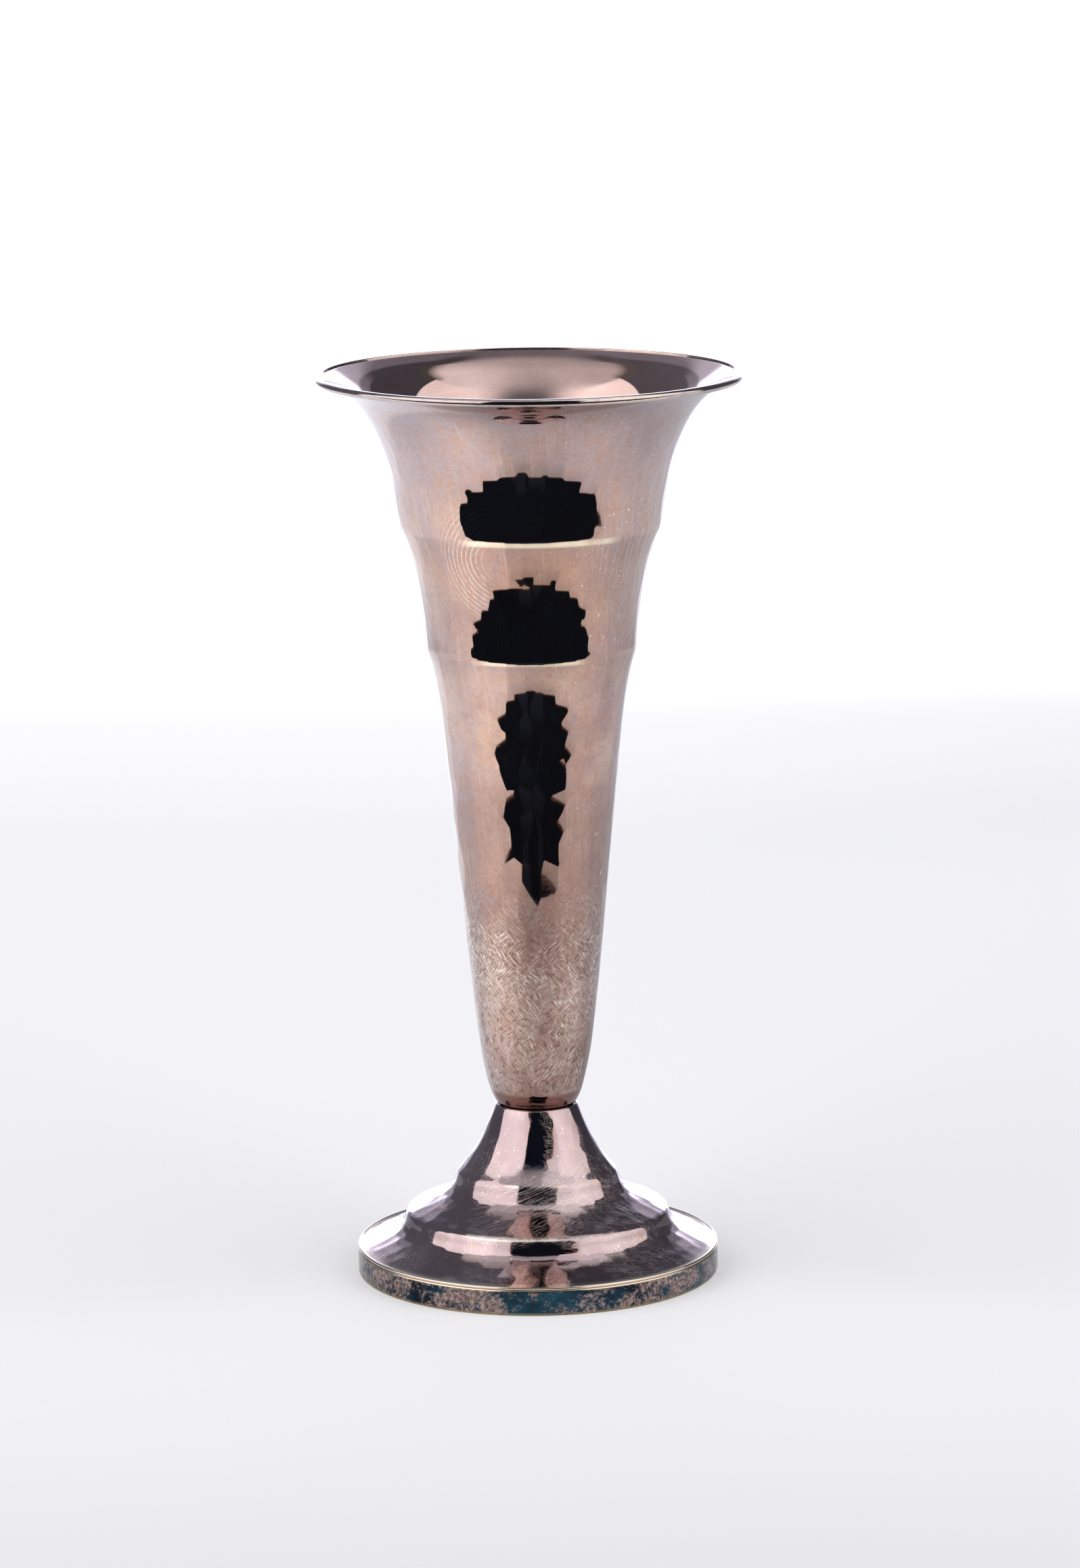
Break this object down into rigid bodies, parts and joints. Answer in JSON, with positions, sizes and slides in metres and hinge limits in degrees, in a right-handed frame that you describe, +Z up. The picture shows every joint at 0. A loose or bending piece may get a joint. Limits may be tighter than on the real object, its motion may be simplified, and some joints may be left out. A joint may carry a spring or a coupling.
{
  "type": "trumpet vase",
  "caption": "Tall trumpet-shaped vase of hammered, plated metal with ridges round the body, a wide mouth edged with wire, and a stepped, weighted round foot.",
  "frame": {"origin": "centre of the foot's underside, in the plane of the surface that the vase stands on", "axes": "+Z up along the vase's axis; +X and +Y are free, because the vase is round"},
  "size_m": [0.0838, 0.0838, 0.18],
  "materials": {
    "hammered_silver": "silver plate over brass, hand hammered, mirror bright under pinkish-brown tarnish",
    "lip_silver": "silver plate over brass, drawn wire, polished and lightly tarnished",
    "inner_silver": "silver plate over brass, dull grey tarnish",
    "foot_silver": "silver plate over brass, hammered, mirror bright under purple-brown tarnish",
    "band_silver": "silver plate over brass, smooth, blue and brown mottled tarnish, brass showing at the edges",
    "filler": "cast plaster, matt",
    "fixing_brass": "turned brass, dull",
    "fixing_steel": "plain washer, dull",
    "plate_brass": "sheet brass, dull",
    "baize": "green felt"
  },
  "bodies": {
    "root": {"trumpet_body": "hammered_silver", "lip_wire": "lip_silver", "body_floor": "inner_silver", "foot_shell": "foot_silver", "foot_band": "band_silver", "foot_weight": "filler", "fixing_stud": "fixing_brass", "stud_washer": "fixing_steel", "stud_nut": "fixing_brass", "base_plate": "plate_brass", "baize_pad": "baize"}
  },
  "joints": []
}
